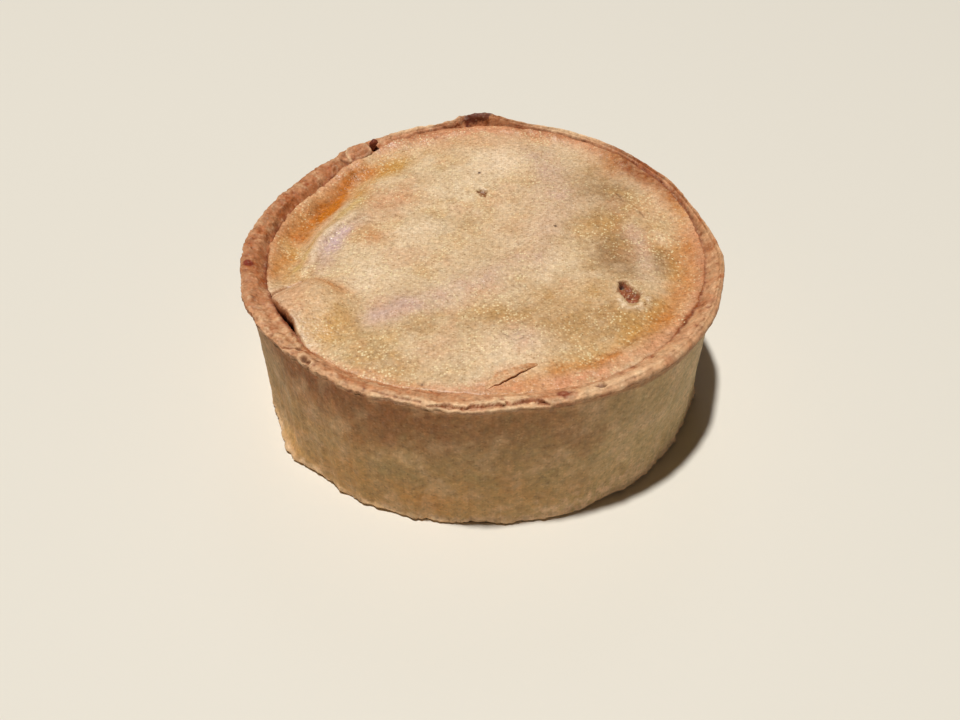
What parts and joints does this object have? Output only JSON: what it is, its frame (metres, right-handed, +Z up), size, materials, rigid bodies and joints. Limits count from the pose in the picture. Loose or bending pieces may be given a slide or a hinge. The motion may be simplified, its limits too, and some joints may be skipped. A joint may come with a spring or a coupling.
{
  "type": "scotch pie",
  "caption": "Round straight-sided savoury pie of hot-water pastry with a raised rim and an uneven browned lid baked inside it; food that stands on its flat base.",
  "frame": {"origin": "on the table, under the middle of the pie's outline", "axes": "+Z up out of the lid, -Y towards the front of the pie, +X to its right"},
  "size_m": [0.1016, 0.1008, 0.0361],
  "materials": {
    "case_pastry": "baked hot-water crust, matt, pale on the wall and browned on the rim",
    "lid_pastry": "baked hot-water crust with a thin film of fat, satin, golden with orange margins"
  },
  "bodies": {
    "root": {"pastry_case": "case_pastry", "lid": "lid_pastry"}
  },
  "joints": []
}
